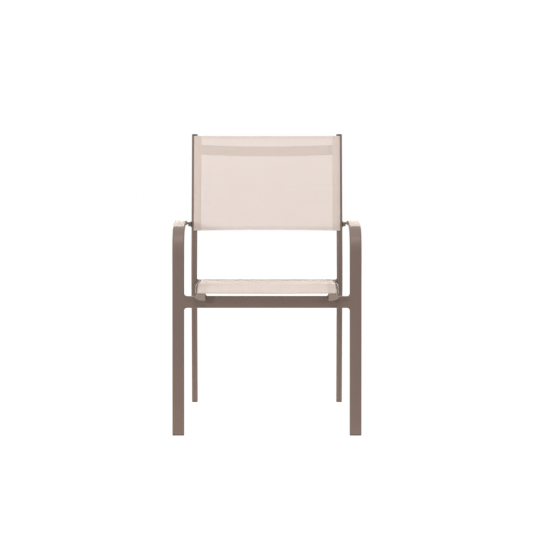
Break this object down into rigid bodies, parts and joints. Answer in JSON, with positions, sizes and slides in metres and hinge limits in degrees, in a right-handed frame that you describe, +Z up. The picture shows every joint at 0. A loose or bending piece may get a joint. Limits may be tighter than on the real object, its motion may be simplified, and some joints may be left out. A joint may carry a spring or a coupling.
{
  "type": "sling patio chair",
  "caption": "Stacking patio armchair with a bent tube frame, a woven seat sling and a woven back sling held in grooved rails.",
  "frame": {"origin": "on the floor, under the middle of the chair's footprint", "axes": "+Z up, -Y the way the chair faces, +X to the right as seen from the front"},
  "size_m": [0.583, 0.5852, 0.8744],
  "materials": {
    "frame_paint": "satin taupe powder coat",
    "sling_fabric": "cream open-weave coated mesh",
    "spline_rod": "smooth extruded",
    "cap_plastic": "matt moulded taupe",
    "glide_plastic": "matt moulded dark brown",
    "joint_plastic": "matt moulded brown",
    "fastener_steel": "zinc plated"
  },
  "bodies": {
    "root": {"right_arm_tube": "frame_paint", "left_arm_tube": "frame_paint", "front_crossbar": "frame_paint", "right_rear_upright": "frame_paint", "left_rear_upright": "frame_paint", "right_groove_strip": "frame_paint", "left_groove_strip": "frame_paint", "rear_seat_tube": "frame_paint", "back_top_tube": "frame_paint", "right_seat_rail": "frame_paint", "left_seat_rail": "frame_paint", "seat_sling": "sling_fabric", "back_sling": "sling_fabric", "right_seat_sling_rod": "spline_rod", "left_seat_sling_rod": "spline_rod", "right_back_sling_rod": "spline_rod", "left_back_sling_rod": "spline_rod", "right_arm_end_cap": "cap_plastic", "left_arm_end_cap": "cap_plastic", "right_seat_rail_cap": "cap_plastic", "left_seat_rail_cap": "cap_plastic", "right_arm_joint_spacer": "cap_plastic", "left_arm_joint_spacer": "cap_plastic", "right_front_glide": "glide_plastic", "left_front_glide": "glide_plastic", "right_rear_glide": "glide_plastic", "left_rear_glide": "glide_plastic", "right_upright_top_cap": "glide_plastic", "left_upright_top_cap": "glide_plastic", "right_arm_joint_seat": "joint_plastic", "left_arm_joint_seat": "joint_plastic", "right_arm_joint_bush": "joint_plastic", "left_arm_joint_bush": "joint_plastic", "right_arm_bolt": "fastener_steel", "left_arm_bolt": "fastener_steel", "right_arm_lock_nut": "fastener_steel", "left_arm_lock_nut": "fastener_steel"}
  },
  "joints": []
}
